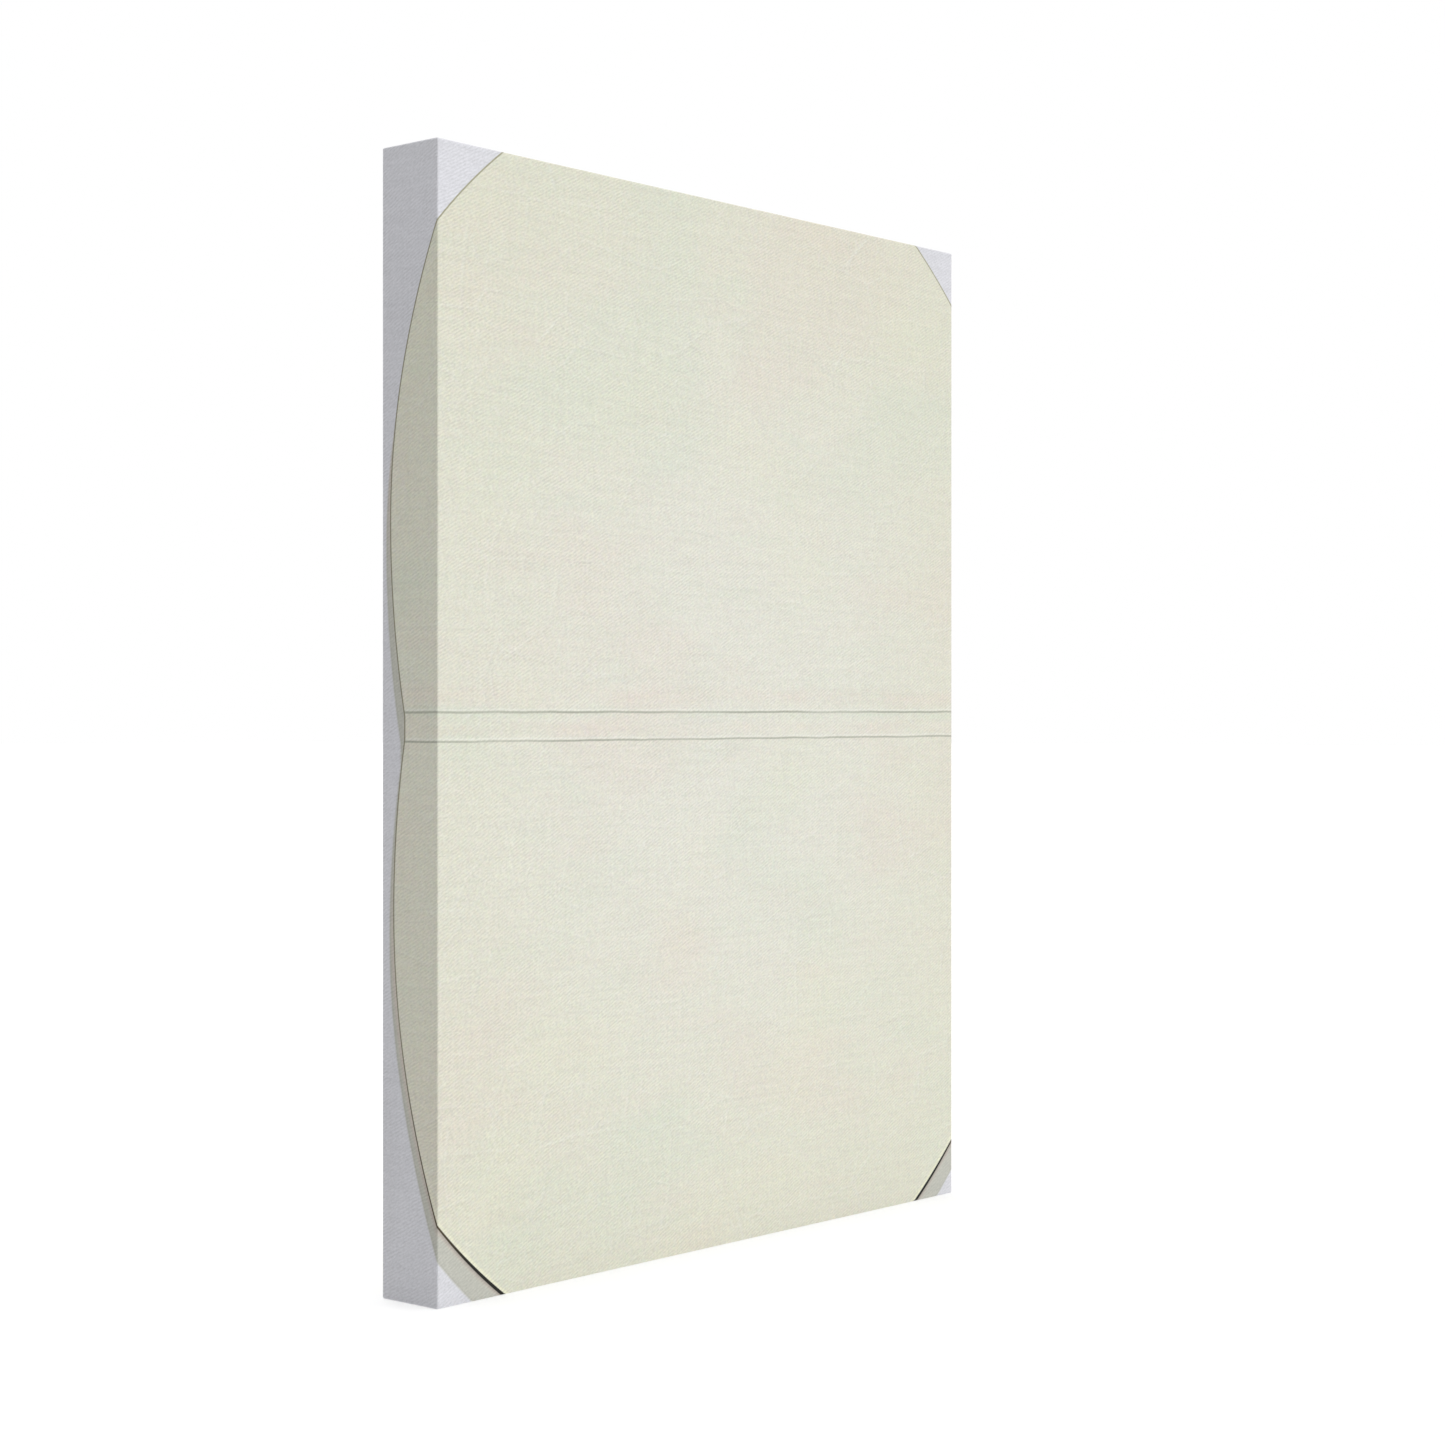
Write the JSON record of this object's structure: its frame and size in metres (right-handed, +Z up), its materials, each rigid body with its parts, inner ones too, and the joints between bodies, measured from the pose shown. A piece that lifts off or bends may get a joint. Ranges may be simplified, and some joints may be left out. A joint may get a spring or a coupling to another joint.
{
  "type": "stretched canvas",
  "caption": "Gallery-wrapped printed canvas on a deep keyed pine stretcher with corner wedges, staples, D-ring hangers and wall pads.",
  "frame": {"origin": "middle of the bottom edge, halfway through the depth of the wrapped canvas, on its underside", "axes": "+Z up along the canvas's height, -Y towards the viewer of the picture, +X to the viewer's right"},
  "size_m": [0.45, 0.0454, 0.6],
  "materials": {
    "canvas": "printed cotton canvas, matt, fine twill weave, raw cotton reverse",
    "pine": "planed pine, unfinished",
    "key_wood": "sawn beech, unfinished",
    "staple_wire": "galvanised steel wire, satin",
    "hanger_steel": "zinc-plated pressed steel, satin",
    "ring_wire": "nickel-plated steel wire, bright",
    "screw_steel": "zinc-plated steel, satin",
    "pad_rubber": "moulded rubber, matt"
  },
  "bodies": {
    "canvas": {"canvas": "canvas", "bumper_pad_left": "pad_rubber", "bumper_pad_right": "pad_rubber"},
    "bar_top": {"stretcher_top": "pine", "staples_top": "staple_wire"},
    "bar_bottom": {"stretcher_bottom": "pine", "staples_bottom": "staple_wire"},
    "bar_left": {"stretcher_left": "pine", "staples_left": "staple_wire", "hanger_strap_left": "hanger_steel", "hanger_screw_left": "screw_steel"},
    "bar_right": {"stretcher_right": "pine", "staples_right": "staple_wire", "hanger_strap_right": "hanger_steel", "hanger_screw_right": "screw_steel"},
    "key_bottom_left_across": {"key_bottom_left_across": "key_wood"},
    "key_bottom_right_across": {"key_bottom_right_across": "key_wood"},
    "key_top_left_across": {"key_top_left_across": "key_wood"},
    "key_top_right_across": {"key_top_right_across": "key_wood"},
    "key_top_left_upright": {"key_top_left_upright": "key_wood"},
    "key_bottom_left_upright": {"key_bottom_left_upright": "key_wood"},
    "key_top_right_upright": {"key_top_right_upright": "key_wood"},
    "key_bottom_right_upright": {"key_bottom_right_upright": "key_wood"},
    "ring_left": {"hanger_ring_left": "ring_wire"},
    "ring_right": {"hanger_ring_right": "ring_wire"}
  },
  "joints": [
    {"name": "bottom_bar_slide", "type": "slide", "parent": "canvas", "child": "bar_bottom", "axis": [0, 0, 1], "range_m": [0, 0.001]},
    {"name": "top_bar_slide", "type": "slide", "parent": "canvas", "child": "bar_top", "axis": [0, 0, -1], "range_m": [0, 0.001]},
    {"name": "left_bar_slide", "type": "slide", "parent": "canvas", "child": "bar_left", "axis": [1, 0, 0], "range_m": [0, 0.001]},
    {"name": "right_bar_slide", "type": "slide", "parent": "canvas", "child": "bar_right", "axis": [-1, 0, 0], "range_m": [0, 0.001]},
    {"name": "key_bottom_left_across_slide", "type": "slide", "parent": "bar_bottom", "child": "key_bottom_left_across", "axis": [1, 0, 0], "range_m": [0, 0.005]},
    {"name": "key_bottom_right_across_slide", "type": "slide", "parent": "bar_bottom", "child": "key_bottom_right_across", "axis": [-1, 0, 0], "range_m": [0, 0.005]},
    {"name": "key_top_left_across_slide", "type": "slide", "parent": "bar_top", "child": "key_top_left_across", "axis": [1, 0, 0], "range_m": [0, 0.005]},
    {"name": "key_top_right_across_slide", "type": "slide", "parent": "bar_top", "child": "key_top_right_across", "axis": [-1, 0, 0], "range_m": [0, 0.005]},
    {"name": "key_top_left_upright_slide", "type": "slide", "parent": "bar_left", "child": "key_top_left_upright", "axis": [0, 0, -1], "range_m": [0, 0.005]},
    {"name": "key_bottom_left_upright_slide", "type": "slide", "parent": "bar_left", "child": "key_bottom_left_upright", "axis": [0, 0, 1], "range_m": [0, 0.005]},
    {"name": "key_top_right_upright_slide", "type": "slide", "parent": "bar_right", "child": "key_top_right_upright", "axis": [0, 0, -1], "range_m": [0, 0.005]},
    {"name": "key_bottom_right_upright_slide", "type": "slide", "parent": "bar_right", "child": "key_bottom_right_upright", "axis": [0, 0, 1], "range_m": [0, 0.005]},
    {"name": "ring_left_hinge", "type": "hinge", "parent": "bar_left", "child": "ring_left", "pos_m": [-0.194, 0.02205, 0.45], "axis": [1, 0, 0], "range_deg": [0, 175]},
    {"name": "ring_right_hinge", "type": "hinge", "parent": "bar_right", "child": "ring_right", "pos_m": [0.194, 0.02205, 0.45], "axis": [1, 0, 0], "range_deg": [0, 175]}
  ],
  "couplings": [
    {"joint": "key_bottom_left_across_slide", "follows": "bottom_bar_slide", "ratio": 5},
    {"joint": "key_bottom_right_across_slide", "follows": "bottom_bar_slide", "ratio": 5},
    {"joint": "key_top_left_across_slide", "follows": "top_bar_slide", "ratio": 5},
    {"joint": "key_top_right_across_slide", "follows": "top_bar_slide", "ratio": 5},
    {"joint": "key_top_left_upright_slide", "follows": "left_bar_slide", "ratio": 5},
    {"joint": "key_bottom_left_upright_slide", "follows": "left_bar_slide", "ratio": 5},
    {"joint": "key_top_right_upright_slide", "follows": "right_bar_slide", "ratio": 5},
    {"joint": "key_bottom_right_upright_slide", "follows": "right_bar_slide", "ratio": 5}
  ]
}
